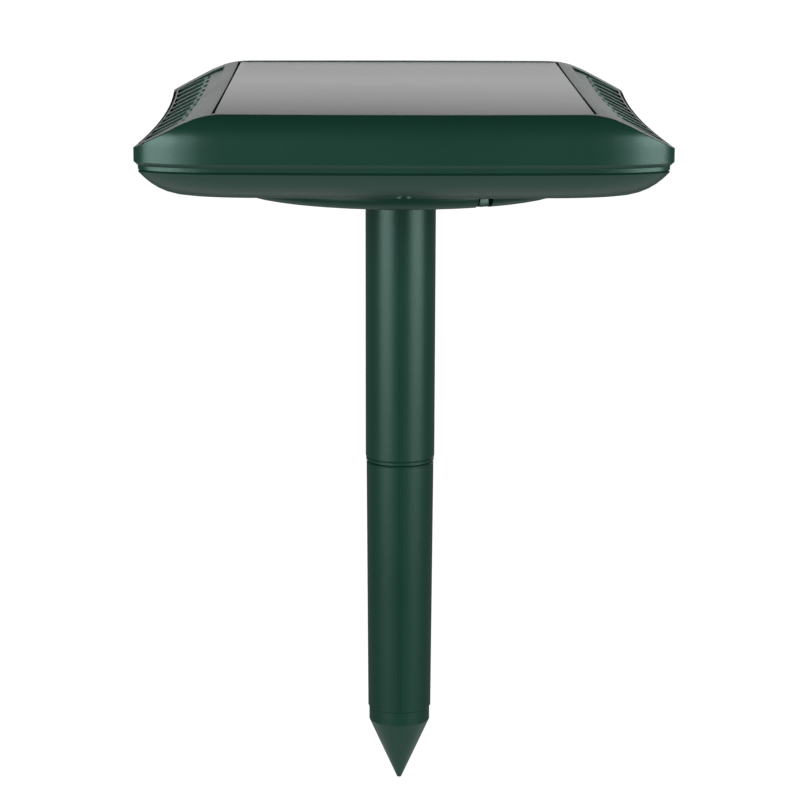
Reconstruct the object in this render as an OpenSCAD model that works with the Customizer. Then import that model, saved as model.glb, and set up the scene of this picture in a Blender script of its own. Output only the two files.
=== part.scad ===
// Garden stake ultrasonic pest repeller: a flat solar head with a sound grille down each side,
// on a plastic tube stake in two lengths with a ground point.
// Millimetres. Z is up and the origin is the point of the stake.

/* [Head] */
// Width of the head at its corners, across the two grille sides
head_w = 150; // [146:1:200]
// Depth of the head from front to back
head_d = 186; // [180:1:240]
// Height of the flat top above the widest line of the head, the rim
top_rise = 9.6; // [9:0.2:14]
// Depth of the lower shell's flat bottom below the rim
bottom_drop = 15; // [14:0.5:22]
// How far each long side curves in at its middle
side_waist = 2.5; // [0:0.5:5]
// Corner radius of the head seen from above
corner_r = 12; // [6:1:20]
// Wall of both shells
wall = 2.2; // [1.6:0.1:3]
// Run of the sloping grille side, from the flat top out to the rim
slope_run = 25; // [20:1:27]
// Slope of the grille sides below level
slope_angle = 27; // [20:1:32]
// Lean of the front and back faces, from the top edge out to the rim
face_lean = 5; // [2:0.5:8]

/* [Solar panel] */
// Head left outside the panel on each grille side
panel_side_border = 22.5; // [21:0.5:30]
// Head left outside the panel at the front and the back
panel_end_border = 9; // [7:0.5:20]
// Clear cover sheet
cover_t = 1.2; // [0.8:0.1:2]
// Silicon cells under the cover
cell_t = 0.4; // [0.2:0.1:0.6]
// Panel circuit board
panel_board_t = 1.2; // [0.8:0.1:1.6]
// Foam tape that holds the panel
tape_t = 0.6; // [0.4:0.1:1]
// Cell strips along the panel
cell_rows = 6; // [4:1:10]

/* [Grilles] */
// Length of each grille opening from front to back
grille_l = 160; // [120:1:164]
// Slots in each grille
slot_count = 10; // [6:1:14]
// Width of one slot
slot_w = 9.4; // [4:0.2:9.8]
// Thickness of a grille insert
grille_t = 1.8; // [1.2:0.1:2.4]

/* [Sound emitters] */
// Diameter of one emitter can
emitter_d = 16; // [12:0.5:17]
// Length of one emitter can
emitter_l = 8; // [6:0.5:8.5]
// Distance of an emitter's mouth behind the grille's outer face
emitter_drop = 8; // [7.6:0.1:8.4]
// Distance from the middle to each emitter, front and back
emitter_y = 38; // [20:1:50]

/* [Boss and switch] */
// Radius of the round boss under the head
boss_r = 52; // [49:1:60]
// Depth of the boss below the flat bottom
boss_drop = 7; // [6:0.5:10]
// Sideways place of the power switch, from the middle
switch_x = 24; // [15:1:30]
// Travel of the power switch
switch_travel = 1; // [0.5:0.1:1.6]

/* [Battery] */
// Diameter of one cell
battery_d = 14.2; // [10:0.1:14.4]
// Length of one cell without its nub
battery_l = 49; // [44:0.5:50]
// Cells side by side
battery_count = 3; // [2:1:3]
// Door plate thickness
door_t = 2.2; // [1.6:0.1:2.6]

/* [Electronics] */
// Length of the main board from front to back
board_l = 54; // [45:1:56]
// Thickness of the main board
board_t = 1.6; // [1:0.1:2]

/* [Stake] */
// Height of the rim above the stake's point
rim_h = 212; // [180:1:300]
// Height of the joint between the two tubes
joint_h = 104.3; // [80:0.1:140]
// Height of the top of the ground point's collar
tip_h = 24.4; // [20:0.1:40]
// Outer radius of the upper tube in the head's socket
tube_top_r = 10.9; // [10:0.1:14]
// Narrowing of the stake's radius from the socket to the ground point
stake_taper = 1; // [0.6:0.1:1.4]
// Wall of the upper tube
tube_wall = 2; // [1.6:0.1:2.6]
// Depth to which each tube sits in the next piece
socket_depth = 18; // [12:1:19]
// Radial clearance of the pull-apart fits
fit_gap = 0.08; // [0.04:0.01:0.1]

/* [Hidden] */
$fn = 64;

shell_green = [0.11, 0.24, 0.19];
slack = 0.3;                              // free gap between neighbouring loose pieces

// Heights of the head, measured from the rim
lip_inset = 1.2;                          // the shells' meeting edge, inside the rim
band_h = 4.2;                             // plain band under the rim
lip_z = -6;                               // lower edge of the top shell
gasket_t = 0.6;
seam_z = lip_z - gasket_t;                // upper edge of the lower shell
bottom_z = -bottom_drop;
boss_z = bottom_z - boss_drop;
collar_z = boss_z - 3.5;                  // mouth of the stake socket
floor_in_z = bottom_z + wall;
boss_in_z = boss_z + wall;

// Solar panel stack, from the top down
panel_w = head_w - 2 * panel_side_border;
panel_l = head_d - 2 * panel_end_border;
panel_gap = 0.8;
panel_sink = 0.3;
cover_z = top_rise - panel_sink - cover_t;
cell_z = cover_z - cell_t;
panel_board_z = cell_z - panel_board_t;
tape_z = panel_board_z - tape_t;
tray_t = 1.8;
tray_z = tape_z - tray_t;                 // underside of the panel tray
cell_margin = 5;
cell_gap = 1.2;

// Grille side
half_w = head_w / 2;
half_d = head_d / 2;
slope_top_x = half_w - slope_run;         // where the flat top starts to bend down
bend_r = 26;
ledge_x = half_w - 17;                    // inner edge of the grille insert
grille_edge = 2.6;                        // rim left outside the grille insert
slot_edge = 1.4;                          // and outside its slots
slot_pitch = (grille_l - 8) / slot_count;
slot_in_x = half_w - 12.6;

// Lower shell's bowl
bowl_inset = 20.5;
bowl_power = 3.2;
bowl_steps = 8;

// Stake socket in the middle of the head
socket_wall = 4.4;
socket_r = tube_top_r + fit_gap;
collar_r = socket_r + socket_wall;
socket_top_z = collar_z + socket_depth + 1;

// Tubes
spigot_r = tube_top_r - tube_wall - 0.35;   // shared by both spigots and the lower tube's bore
spigot_wall = 1.6;
tube_bottom_r = tube_top_r - stake_taper;
tube_mid_upper_r = tube_top_r - 0.15 * stake_taper;
tube_mid_lower_r = tube_top_r - 0.4 * stake_taper;
joint_gap = 0.3;
tube_top_z = rim_h + socket_top_z - slack;

// Battery compartment at the back of the head
cell_slot = battery_d + 0.5;
tub_half_x = battery_l / 2 + 5;
tub_y0 = collar_r + 5.5;
tub_y1 = tub_y0 + battery_count * cell_slot;
tub_wall = 1.6;
tub_top_z = tray_z - 0.5;
door_side = 6.5;                          // door outside the compartment, at the screw sides
door_end = 2.4;                           // and at its other two sides
door_half_x = tub_half_x + door_side;
door_y0 = tub_y0 - door_end;
door_y1 = tub_y1 + door_end;
seal_t = 0.8;
ledge_z = bottom_z + door_t + seal_t;     // the door's seal presses up on this ledge
door_top_z = ledge_z - seal_t;
door_screw_x = tub_half_x + 3.4;
door_screw_in = 7;
door_head_h = 1.3;
cell_axis_z = ledge_z + 0.4 + battery_d / 2;

// Screws
screw_r = 1.5;
head_r = 2.8;
column_r = 3.8;
column_x = half_w - 21;
column_y = half_d - 22;
column_end_y = half_d - 13;
column_spots = concat([for (x = [-1, 1], y = [-1, 1]) [x * column_x, y * column_y]],
                      [for (y = [-1, 1]) [0, y * column_end_y]]);

// Main board at the front of the head
inner_half_w = half_w - 27;               // clear of the emitters
board_half_x = inner_half_w - 5;
board_y1 = -(collar_r + 5);
board_y0 = max(board_y1 - board_l, column_r + 0.8 - column_end_y);   // clear of the front column
board_z = floor_in_z + 3.6;
board_top_z = board_z + board_t;
post_in = 4.5;                            // board screws, in from its edges
post_r = 2.6;

// Indicator lamp and switch
led_r = 1.5;
led_y = -(half_d - 24);
switch_angle = asin(switch_x / boss_r);
knob_w = 3.3;
knob_h = wall + 0.4;
knob_side_gap = 0.35;

// A rounded rectangle with its long sides curved in, grown inward by inset
function side_pull(y, hd) = side_waist * (1 - pow(y / hd, 2));
function corner(cx, cy, r, a0) = [for (k = [0:6]) [cx + r * cos(a0 + 15 * k), cy + r * sin(a0 + 15 * k)]];
module plan(inset = 0) {
  hw = half_w - inset;
  hd = half_d - inset;
  r = max(corner_r - inset, 2);
  ys = [for (k = [-5:5]) k * (hd - r) / 6];
  polygon(concat(
    corner(hw - r, -hd + r, r, -90),
    [for (y = ys) [hw - side_pull(y, hd - r), y]],
    corner(hw - r, hd - r, r, 0),
    corner(-hw + r, hd - r, r, 90),
    [for (y = ys) [-hw + side_pull(y, hd - r), -y]],
    corner(-hw + r, -hd + r, r, 180)));
}

// Height of the grille side's outline at a distance x from the middle
bend_end_x = slope_top_x + bend_r * sin(slope_angle);
bend_fall = bend_r * (1 - cos(slope_angle));
function side_z(x) =
  x < slope_top_x ? top_rise :
  x < bend_end_x ? top_rise - bend_r + sqrt(bend_r * bend_r - pow(x - slope_top_x, 2)) :
  top_rise - bend_fall - (x - bend_end_x) * tan(slope_angle);

// Solid with the head's outline seen from the side, lowered by drop, between z_low and the top
module side_form(drop, z_low) {
  bend_xs = [for (k = [1:6]) slope_top_x + k * (bend_end_x - slope_top_x) / 6];
  xs = concat([slope_top_x], bend_xs, [half_w + 2]);
  rotate([90, 0, 0]) translate([0, 0, -half_d - 1]) linear_extrude(2 * half_d + 2)
    polygon(concat(
      [[-half_w - 2, z_low], [half_w + 2, z_low]],
      [for (k = [len(xs) - 1:-1:0]) [xs[k], side_z(xs[k]) - drop]],
      [for (x = xs) [-x, side_z(x) - drop]]));
}

// The same for the front and back faces, which lean out to the rim in a soft curve
module face_form(inset, z_low) {
  steps = 6;
  edge = [for (k = [0:steps]) let (a = 90 * k / steps)
    [half_d - inset - face_lean * (1 - cos(a)), (top_rise - inset) * sin(a)]];
  rotate([90, 0, 90]) translate([0, 0, -half_w - 1]) linear_extrude(2 * half_w + 2)
    polygon(concat(
      [[-half_d + inset, z_low], [half_d - inset, z_low]],
      edge,
      [for (k = [steps:-1:0]) [-edge[k][0], edge[k][1]]]));
}

// Upper half of the head as one solid, shrunk by inset
module upper_form(inset = 0, z_low = lip_z) {
  intersection() {
    side_form(inset * 1.15, z_low);
    face_form(inset, z_low);
    translate([0, 0, z_low]) linear_extrude(40) plan(inset);
  }
}

// Lower half: a shallow bowl, in layers that follow its curve
function bowl_depth(s) = (bottom_drop + seam_z) * (1 - pow(1 - s / bowl_inset, bowl_power));
module bowl_outline(half, inset, length) {
  steps = [for (k = [0:bowl_steps]) bowl_inset * pow(k / bowl_steps, 1.3)];
  side = [for (s = steps) [half - lip_inset - inset - s, seam_z - bowl_depth(s) + inset]];
  top = inset > 0 ? seam_z + inset + 1 : seam_z;
  rim = half - lip_inset - inset;
  translate([0, 0, -length / 2]) linear_extrude(length)
    polygon(concat([[-rim, top], [rim, top]], side,
      [for (k = [bowl_steps:-1:0]) [-side[k][0], side[k][1]]]));
}
module lower_form(inset = 0) {
  intersection() {
    rotate([90, 0, 0]) bowl_outline(half_w, inset, head_d + 2);
    rotate([90, 0, 90]) bowl_outline(half_d, inset, head_w + 2);
    translate([0, 0, bottom_z - 1]) linear_extrude(20) plan(lip_inset + inset);
  }
}
module boss_form(inset = 0) {
  edge_r = 3;
  translate([0, 0, boss_z + inset]) rotate_extrude()
    polygon(concat(
      [[0, 0]],
      [for (k = [0:5]) [boss_r - inset - edge_r + edge_r * sin(18 * k), edge_r * (1 - cos(18 * k))]],
      [[boss_r - inset, boss_drop + 1.5], [0, boss_drop + 1.5]]));
}
module screw(length, r = screw_r, cap_r = head_r, cap_h = 1.8) {
  cylinder(h = length, r = r);
  translate([0, 0, -cap_h]) difference() {
    cylinder(h = cap_h, r = cap_r);
    for (a = [0, 90]) rotate(a) translate([-cap_r * 0.6, -0.4, -1]) cube([cap_r * 1.2, 0.8, 1.8]);
  }
}
module at_rim() { translate([0, 0, rim_h]) children(); }

// Places of the sound emitters: tilted with the grille, mouth up and outward
emitter_x = half_w - 14;
rail_in = 17;                             // reach of the emitter rail back to the panel tray
rail_out = 10.8;
module at_emitters(sides = [-1, 1]) {
  for (s = sides, y = [-1, 1])
    translate([s * emitter_x, y * emitter_y, side_z(emitter_x)])
      rotate([0, s * slope_angle, 0]) translate([0, 0, -emitter_drop]) children();
}

// Opening that a grille insert fills, cut down through the sloping side
module grille_block(grow, z0) {
  for (s = [-1, 1]) translate([0, 0, z0]) linear_extrude(40) intersection() {
    plan(grille_edge - grow);
    translate([s > 0 ? ledge_x - grow : -half_w, -grille_l / 2 - grow])
      square([half_w - ledge_x + grow, grille_l + 2 * grow]);
  }
}

module housing_column(z0, z1, r = column_r) {
  for (p = column_spots) translate([p[0], p[1], z0]) cylinder(h = z1 - z0, r = r);
}

module top_housing() {
  sleeve_r = emitter_d / 2 + 1.2 + fit_gap;
  color(shell_green) at_rim() difference() {
    union() {
      difference() {
        upper_form(0, lip_z);
        translate([0, 0, lip_z - 1]) linear_extrude(-band_h - lip_z + 1)
          difference() { plan(-3); plan(lip_inset); }
        upper_form(wall + lip_inset, lip_z - 1);
      }
      // tray under the solar panel
      translate([-panel_w / 2 - 2, -panel_l / 2 - 2, tray_z])
        cube([panel_w + 4, panel_l + 4, top_rise - panel_sink - 0.5 - tray_z]);
      // tilted rails that carry the emitters
      intersection() {
        upper_form(wall * 0.5, lip_z);
        for (s = [-1, 1]) translate([s * emitter_x, 0, side_z(emitter_x)])
          rotate([0, s * slope_angle, 0])
            translate([-rail_in, -grille_l / 2 - 2, -emitter_drop - 3])
              cube([rail_in + rail_out, grille_l + 4, 1.6]);
      }
      intersection() {
        upper_form(wall * 0.5, lip_z);
        housing_column(lip_z, top_rise);
      }
    }
    // pocket for the panel
    translate([-panel_w / 2 - panel_gap, -panel_l / 2 - panel_gap, tape_z])
      cube([panel_w + 2 * panel_gap, panel_l + 2 * panel_gap, 30]);
    // grille openings, down to the emitter rails
    intersection() {
      grille_block(0.1, lip_z);
      difference() {
        upper_form(-1, lip_z);
        side_form(emitter_drop / cos(slope_angle), lip_z - 1);
      }
    }
    at_emitters() translate([0, 0, -4]) cylinder(h = 4.5, r = sleeve_r);
    translate([0, 0, lip_z - 1]) for (p = column_spots)
      translate([p[0], p[1], 0]) cylinder(h = 9.5, r = screw_r - 0.2);
    // lead hole for the panel
    translate([0, wire_hole_y, tray_z - 1]) cylinder(h = 8, r = 2.5);
  }
}

module body_form() { lower_form(); boss_form(); }

module bottom_housing() {
  color(shell_green) at_rim() difference() {
    union() {
      difference() {
        body_form();
        union() { lower_form(wall); boss_form(wall); }
      }
      translate([0, 0, collar_z]) cylinder(h = socket_top_z + 2 - collar_z, r = collar_r);
      // compartment walls and the ledge round the door
      intersection() {
        union() {
          body_form();
          translate([-half_w / 2, -half_d / 2, seam_z - 0.01])
            cube([half_w, half_d * 1.4, 30]);
        }
        union() {
          translate([-tub_half_x - tub_wall, tub_y0 - tub_wall, boss_z])
            cube([2 * (tub_half_x + tub_wall), tub_y1 - tub_y0 + 2 * tub_wall, tub_top_z - boss_z]);
          translate([-door_half_x - wall, door_y0 - wall, boss_z])
            cube([2 * (door_half_x + wall), door_y1 - door_y0 + 2 * wall, ledge_z + 1.6 - boss_z]);
          for (p = door_screw_spots) translate([p[0], p[1], ledge_z]) cylinder(h = 8, r = 2.7);
        }
      }
      intersection() {
        body_form();
        union() {
          housing_column(bottom_z, seam_z);
          for (p = board_spots) translate([p[0], p[1], boss_z]) cylinder(h = board_z - boss_z, r = post_r);
        }
      }
    }
    translate([0, 0, collar_z - 1]) cylinder(h = socket_top_z - collar_z + 1, r = socket_r);
    // compartment and door recess
    translate([-tub_half_x, tub_y0, boss_z - 1]) cube([2 * tub_half_x, tub_y1 - tub_y0, 60]);
    translate([-door_half_x - slack, door_y0 - slack, boss_z - 1])
      cube([2 * (door_half_x + slack), door_y1 - door_y0 + 2 * slack, ledge_z - boss_z + 1]);
    for (p = door_screw_spots) translate([p[0], p[1], ledge_z - 1]) cylinder(h = 8, r = screw_r - 0.2);
    for (p = board_spots) translate([p[0], p[1], board_z - 5]) cylinder(h = 6, r = 0.9);
    // housing screws sink into the columns from below
    for (p = column_spots) translate([p[0], p[1], bottom_z - 1]) {
      cylinder(h = 20, r = screw_r + 0.2);
      cylinder(h = 4.6, r = head_r + 0.3);
    }
    translate([0, led_y, bottom_z - 1]) cylinder(h = 5, r = led_r + fit_gap);
    at_switch() translate([-knob_w / 2 - knob_side_gap, -boss_r - 2, switch_slot_z])
      cube([knob_w + 2 * knob_side_gap + switch_travel, wall + 4.3, switch_slot_h]);
    // notches that let the battery leads out of the compartment
    for (s = [-1, 1]) translate([s * (tub_half_x - 4), tub_y0 - tub_wall - 1, tub_top_z - 2.4])
      translate([-1, 0, 0]) cube([2, tub_wall + 2, 4]);
  }
}

door_screw_spots = [for (x = [-1, 1], y = [tub_y0 + door_screw_in, tub_y1 - door_screw_in])
  [x * door_screw_x, y]];
board_spots = [for (x = [-1, 1], y = [board_y0 + post_in, board_y1 - post_in])
  [x * (board_half_x - post_in), y]];
wire_hole_y = board_y0 + 14;
switch_slot_z = boss_z - 0.5;
switch_slot_h = wall + 1.7;
knob_z = boss_z + 0.5;
module at_switch() { rotate([0, 0, switch_angle]) children(); }

module grille(s) {
  color(shell_green) at_rim() difference() {
    intersection() {
      grille_block(-0.1, lip_z);
      difference() {
        side_form(0.2, lip_z);
        side_form(0.2 + grille_t / cos(slope_angle), lip_z - 1);
      }
      translate([s > 0 ? 0 : -half_w, -half_d, lip_z]) cube([half_w, head_d, 30]);
    }
    translate([0, 0, lip_z]) linear_extrude(30) intersection() {
      plan(grille_edge + slot_edge);
      for (k = [0:slot_count - 1]) translate([0, (k - (slot_count - 1) / 2) * slot_pitch]) {
        translate([s * (slot_in_x + slot_w / 2), 0]) circle(r = slot_w / 2);
        translate([s > 0 ? slot_in_x + slot_w / 2 : -half_w, -slot_w / 2])
          square([half_w - slot_in_x - slot_w / 2, slot_w]);
      }
    }
  }
}
module left_grille() grille(-1);
module right_grille() grille(1);

module panel_sheet(z, t, trim = 0) {
  translate([-panel_w / 2 + trim, -panel_l / 2 + trim, z]) cube([panel_w - 2 * trim, panel_l - 2 * trim, t]);
}
module panel_cover() { color([0.12, 0.13, 0.14]) at_rim() panel_sheet(cover_z, cover_t); }
module solar_cells() {
  strip = (panel_l - 2 * cell_margin - (cell_rows - 1) * cell_gap) / cell_rows;
  color([0.05, 0.06, 0.09]) at_rim() for (k = [0:cell_rows - 1])
    translate([-panel_w / 2 + cell_margin, -panel_l / 2 + cell_margin + k * (strip + cell_gap), cell_z])
      cube([panel_w - 2 * cell_margin, strip, cell_t]);
}
module panel_board() {
  color([0.85, 0.86, 0.84]) at_rim() difference() {
    panel_sheet(panel_board_z, panel_board_t);
    translate([0, wire_hole_y, panel_board_z - 1]) cylinder(h = 1.6, r = 2);
  }
}
module panel_tape() {
  color([0.15, 0.15, 0.15]) at_rim() difference() {
    panel_sheet(tape_z, tape_t, 1);
    translate([0, 0, -1]) panel_sheet(tape_z, tape_t + 2, 11);
  }
}

module housing_gasket() {
  color([0.06, 0.06, 0.06]) at_rim() translate([0, 0, seam_z]) linear_extrude(gasket_t)
    difference() { plan(lip_inset + 0.7); plan(lip_inset + wall - 0.1); }
}
module housing_screws() {
  color("silver") at_rim() for (p = column_spots)
    translate([p[0], p[1], bottom_z + 3.6]) screw(9, r = screw_r - 0.25);
}

module battery_door() {
  color(shell_green) at_rim() difference() {
    intersection() {
      body_form();
      translate([-door_half_x, door_y0, boss_z - 1])
        cube([2 * door_half_x, door_y1 - door_y0, door_top_z - boss_z + 1]);
    }
    // hollow of the deep part, left open on top
    intersection() {
      boss_form(door_t);
      translate([-tub_half_x + 1, door_y0 + 2, boss_z])
        cube([2 * (tub_half_x - 1), door_y1 - door_y0 - 4, 40]);
    }
    for (p = door_screw_spots) translate([p[0], p[1], boss_z - 1]) {
      cylinder(h = 20, r = screw_r + 0.2);
      cylinder(h = bottom_z + door_head_h + 0.1 - boss_z + 1, r = head_r + 0.3);
    }
  }
}
module door_seal() {
  color([0.06, 0.06, 0.06]) at_rim() difference() {
    translate([-tub_half_x - 1.4, tub_y0 - 1.4, door_top_z])
      cube([2 * (tub_half_x + 1.4), tub_y1 - tub_y0 + 2.8, seal_t]);
    translate([-tub_half_x, tub_y0, door_top_z - 1]) cube([2 * tub_half_x, tub_y1 - tub_y0, seal_t + 2]);
  }
}
module door_screws() {
  color("silver") at_rim() for (p = door_screw_spots)
    translate([p[0], p[1], bottom_z + door_head_h + 0.1])
      screw(7.4, r = screw_r - 0.25, cap_h = door_head_h);
}

module at_cells() {
  for (k = [0:battery_count - 1])
    translate([0, tub_y0 + (k + 0.5) * cell_slot, cell_axis_z])
      rotate([0, k % 2 == 0 ? 90 : -90, 0]) children();
}
module battery_cells() {
  color([0.2, 0.45, 0.25]) at_rim() at_cells() {
    translate([0, 0, -battery_l / 2]) cylinder(h = battery_l, r = battery_d / 2);
    translate([0, 0, battery_l / 2]) cylinder(h = 1.4, r = 2.6);
  }
}
spring_room = tub_half_x - battery_l / 2 - 0.5;
module battery_springs() {
  turns = 4;
  color("silver") at_rim() at_cells() for (k = [0:turns - 1])
    translate([0, 0, -battery_l / 2 - 0.45 - k * (spring_room - 0.9) / (turns - 1)])
      rotate_extrude() translate([2.6 + 0.7 * k, 0]) circle(r = 0.4, $fn = 16);
}
module battery_contacts() {
  color("silver") at_rim() for (s = [-1, 1])
    translate([s > 0 ? tub_half_x - 0.5 : -tub_half_x, tub_y0 + 1, ledge_z + 2])
      cube([0.45, tub_y1 - tub_y0 - 2, battery_d - 3.5]);
}

module main_board() {
  color([0.1, 0.35, 0.2]) at_rim() difference() {
    translate([-board_half_x, board_y0, board_z]) cube([2 * board_half_x, board_l, board_t]);
    for (p = board_spots) translate([p[0], p[1], board_z - 1]) cylinder(h = 4, r = 1.4);
  }
}
module board_screws() {
  color("silver") at_rim() for (p = board_spots)
    translate([p[0], p[1], board_top_z]) rotate([180, 0, 0]) screw(5, r = 0.85, cap_r = 2, cap_h = 1.4);
}
module control_chips() {
  color([0.1, 0.1, 0.1]) at_rim() translate([0, board_y0, board_top_z]) {
    translate([-5, 26, 0]) cube([10, 6, 1.8]);
    translate([12, 34, 0]) cube([5, 4, 1.5]);
    translate([-18, 34, 0]) cube([5, 4, 1.5]);
  }
}
module capacitors() {
  color([0.15, 0.2, 0.4]) at_rim() translate([0, board_y0, board_top_z])
    for (x = [-22, -12]) translate([x, 21, 0]) cylinder(h = 8, r = 3.15);
}
module drive_coils() {
  color([0.7, 0.4, 0.2]) at_rim() translate([0, board_y0, board_top_z])
    for (x = [-24, 24]) translate([x, 42, 0]) {
      cylinder(h = 1, r = 4);
      translate([0, 0, 1]) cylinder(h = 4.4, r = 3);
      translate([0, 0, 5.4]) cylinder(h = 1, r = 4);
    }
}
connector_y = [8, 20, 32];
module wire_connectors() {
  color([0.9, 0.9, 0.86]) at_rim() for (s = [-1, 1], y = connector_y)
    translate([s > 0 ? board_half_x - 6 : -board_half_x + 1, board_y0 + y + 2, board_top_z]) cube([5, 6, 4]);
}
module indicator_led() {
  color([0.9, 0.3, 0.25]) at_rim() translate([0, led_y, bottom_z - 0.6]) {
    translate([0, 0, 0.9]) intersection() {
      sphere(r = led_r);
      translate([-3, -3, -0.9]) cube([6, 6, 6]);
    }
    translate([0, 0, 0.9]) cylinder(h = 2.4, r = led_r);
    translate([0, 0, wall + 0.7]) cylinder(h = 0.8, r = led_r + 0.4);
    for (x = [-0.64, 0.64]) translate([x - 0.25, -0.25, wall + 1.5])
      cube([0.5, 0.5, board_z - bottom_z - wall - 0.9]);
  }
}

switch_body_r = boss_r - 6;               // outer face of the switch body from the middle
module switch_body() {
  color([0.1, 0.1, 0.1]) at_rim() at_switch() difference() {
    translate([-4.5, -switch_body_r, boss_in_z + 0.1]) cube([10, 7, 4.6]);
    translate([-knob_w / 2 - 0.6, -switch_body_r - 1, boss_in_z - 1])
      cube([knob_w + 1.2 + switch_travel, 4, 2.7]);
  }
}
module switch_knob() {
  color([0.13, 0.27, 0.22]) at_rim() at_switch() translate([-knob_w / 2, 0, 0]) {
    translate([0, -boss_r + 0.4, knob_z]) cube([knob_w, 3.3, knob_h]);
    translate([0, -boss_r + 3.6, boss_in_z + 0.2]) cube([knob_w, 5, 0.6]);
  }
}

module emitter_cans() {
  color("silver") at_rim() at_emitters() difference() {
    translate([0, 0, -emitter_l]) cylinder(h = emitter_l, r = emitter_d / 2);
    translate([0, 0, -emitter_l + 2]) cylinder(h = emitter_l, r = emitter_d / 2 - 0.7);
  }
}
module emitter_cones() {
  color([0.75, 0.7, 0.55]) at_rim() at_emitters() {
    translate([0, 0, -emitter_l + 2]) cylinder(h = 1.2, r = emitter_d / 2 - 1);
    translate([0, 0, -emitter_l + 3.2]) cylinder(h = 2.6, r1 = 1.6, r2 = emitter_d / 2 - 2.6);
  }
}
module emitter_boots() {
  color([0.06, 0.06, 0.06]) at_rim() at_emitters() difference() {
    translate([0, 0, -5]) cylinder(h = 4.4, r = emitter_d / 2 + 1.2);
    translate([0, 0, -7]) cylinder(h = 9, r = emitter_d / 2 + 0.02);
  }
}

// A thin insulated lead: an eight-sided tube swept through a list of points
lead_r = 0.6;
lead_sides = 8;
function unit(v) = v / norm(v);
function run_dir(p, k) =
  k == 0 ? unit(p[1] - p[0]) :
  k == len(p) - 1 ? unit(p[k] - p[k - 1]) :
  unit(unit(p[k + 1] - p[k]) + unit(p[k] - p[k - 1]));
module lead(points) {
  last = len(points) - 1;
  rings = [for (k = [0:last]) let (
      d = run_dir(points, k),
      across = unit(cross(d, abs(d[1]) > 0.8 ? [1, 0.1, 0] : [0, 1, 0.1])),
      over = cross(d, across))
    for (n = [0:lead_sides - 1]) points[k] + lead_r * (cos(45 * n) * across + sin(45 * n) * over)];
  walls = [for (k = [0:last - 1], n = [0:lead_sides - 1]) let (m = (n + 1) % lead_sides)
    each [[k * lead_sides + n, (k + 1) * lead_sides + m, k * lead_sides + m],
          [k * lead_sides + n, (k + 1) * lead_sides + n, (k + 1) * lead_sides + m]]];
  polyhedron(rings, concat([[for (n = [0:lead_sides - 1]) n]], walls,
    [[for (n = [lead_sides - 1:-1:0]) last * lead_sides + n]]));
}
lead_z = board_top_z + 6.4;               // leads run above the connectors
function connector_top(s, k) = [s * (board_half_x - 3.5), board_y0 + connector_y[k] + 5, board_top_z + 4.05];
module panel_wires() {
  color([0.7, 0.1, 0.1]) at_rim() for (s = [-1, 1]) {
    p = connector_top(s, 0);
    lead([[s * 1.1, wire_hole_y, panel_board_z - 0.1], [s * 1.1, wire_hole_y, lead_z + 1.4],
          [p[0], p[1], lead_z + 1.4], p]);
  }
}
module battery_wires() {
  color([0.7, 0.1, 0.1]) at_rim() for (s = [-1, 1]) {
    p = connector_top(s, 2);
    x = s * (tub_half_x - 4);
    lead([[x, tub_y0 + 0.6, tub_top_z - 1.2], [x, tub_y0 - tub_wall - 4, tub_top_z - 1.2],
          [s * (board_half_x - 3.5), board_y1 + 3, tub_top_z - 1.2], [p[0], p[1], lead_z], p]);
  }
}
module emitter_wires() {
  color([0.15, 0.15, 0.15]) at_rim() for (s = [-1, 1]) {
    p = connector_top(s, 1);
    for (y = [-1, 1]) {
      back = [s * (emitter_x - (emitter_l + emitter_drop + 0.1) * sin(slope_angle)), y * emitter_y,
              side_z(emitter_x) - (emitter_l + emitter_drop + 0.1) * cos(slope_angle)];
      out = back - [s * 1.4 * sin(slope_angle), 0, 1.4 * cos(slope_angle)];
      run_x = s * (inner_half_w - 3 + y * 0.7);
      q = p + [0, y * 1.2, 0];
      lead([back, out, [run_x, y * (emitter_y - 9), out[2] + 1], [run_x, q[1] + (y > 0 ? 10 : 4), lead_z],
            [q[0], q[1], lead_z], q]);
    }
  }
}
module switch_wires() {
  color([0.15, 0.15, 0.15]) at_rim() for (x = [-2, 3]) {
    r = switch_body_r - 7.15;
    foot = [r * sin(switch_angle) + x * cos(switch_angle), -r * cos(switch_angle) + x * sin(switch_angle),
            boss_in_z + 3];
    lead([foot, [foot[0] - 1, foot[1] + 1.6, foot[2]], [foot[0] - 1, foot[1] + 1.6, board_z - 0.1]]);
  }
}

module tapered(z0, z1, r0, r1) { translate([0, 0, z0]) cylinder(h = z1 - z0, r1 = r0, r2 = r1); }
module upper_tube() {
  bead_h = 1.6;
  color(shell_green) difference() {
    union() {
      tapered(joint_h + bead_h, tube_top_z, tube_mid_upper_r, tube_top_r);
      tapered(joint_h + joint_gap, joint_h + bead_h, tube_mid_upper_r - 0.35, tube_mid_upper_r);
      translate([0, 0, joint_h - socket_depth]) cylinder(h = socket_depth + 2, r = spigot_r - fit_gap);
    }
    translate([0, 0, joint_h - socket_depth - 1]) cylinder(h = 400, r = spigot_r - spigot_wall);
  }
}
module lower_tube() {
  color(shell_green) difference() {
    tapered(tip_h, joint_h, tube_bottom_r, tube_mid_lower_r);
    translate([0, 0, tip_h - 1]) cylinder(h = 200, r = spigot_r);
  }
}
module stake_tip() {
  collar_h = 4.6;
  collar_step = 0.34;                     // the collar is a little narrower than the tube
  point_r = 0.7;
  plug_l = 12;
  plug_gap = 0.02;                        // the plug is pressed into the tube
  color(shell_green) {
    tapered(0, tip_h - collar_h, point_r, tube_bottom_r - collar_step);
    translate([0, 0, tip_h - collar_h]) cylinder(h = collar_h, r = tube_bottom_r - collar_step);
    translate([0, 0, tip_h]) cylinder(h = plug_l, r = spigot_r - plug_gap);
  }
}

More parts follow.
